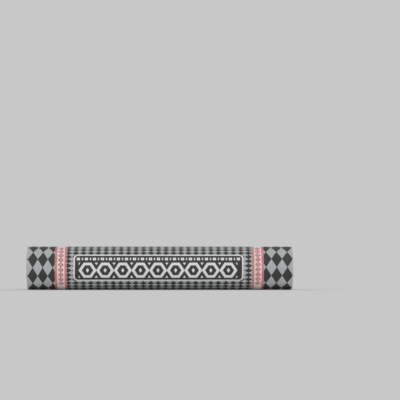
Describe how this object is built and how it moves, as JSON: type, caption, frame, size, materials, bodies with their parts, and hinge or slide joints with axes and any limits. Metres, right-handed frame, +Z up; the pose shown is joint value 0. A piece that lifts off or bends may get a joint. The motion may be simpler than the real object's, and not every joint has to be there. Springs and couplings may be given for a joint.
{
  "type": "roll of roofing felt",
  "caption": "Tightly wound cylinder of granule-surfaced roofing felt with a small open bore, in a full-length printed paper sleeve held by a band of tape near each end.",
  "frame": {"origin": "on the floor under the middle of the lying roll", "axes": "+X along the roll's axis towards its right end, as seen from the printed panel; -Y is the side with the printed panel; +Z up"},
  "size_m": [1, 0.1636, 0.1637],
  "materials": {
    "felt": "matte",
    "printed_paper": "matte",
    "tape": "satin"
  },
  "bodies": {
    "root": {"felt_roll": "felt", "wrapper": "printed_paper", "tape_left": "tape", "tape_right": "tape"}
  },
  "joints": []
}
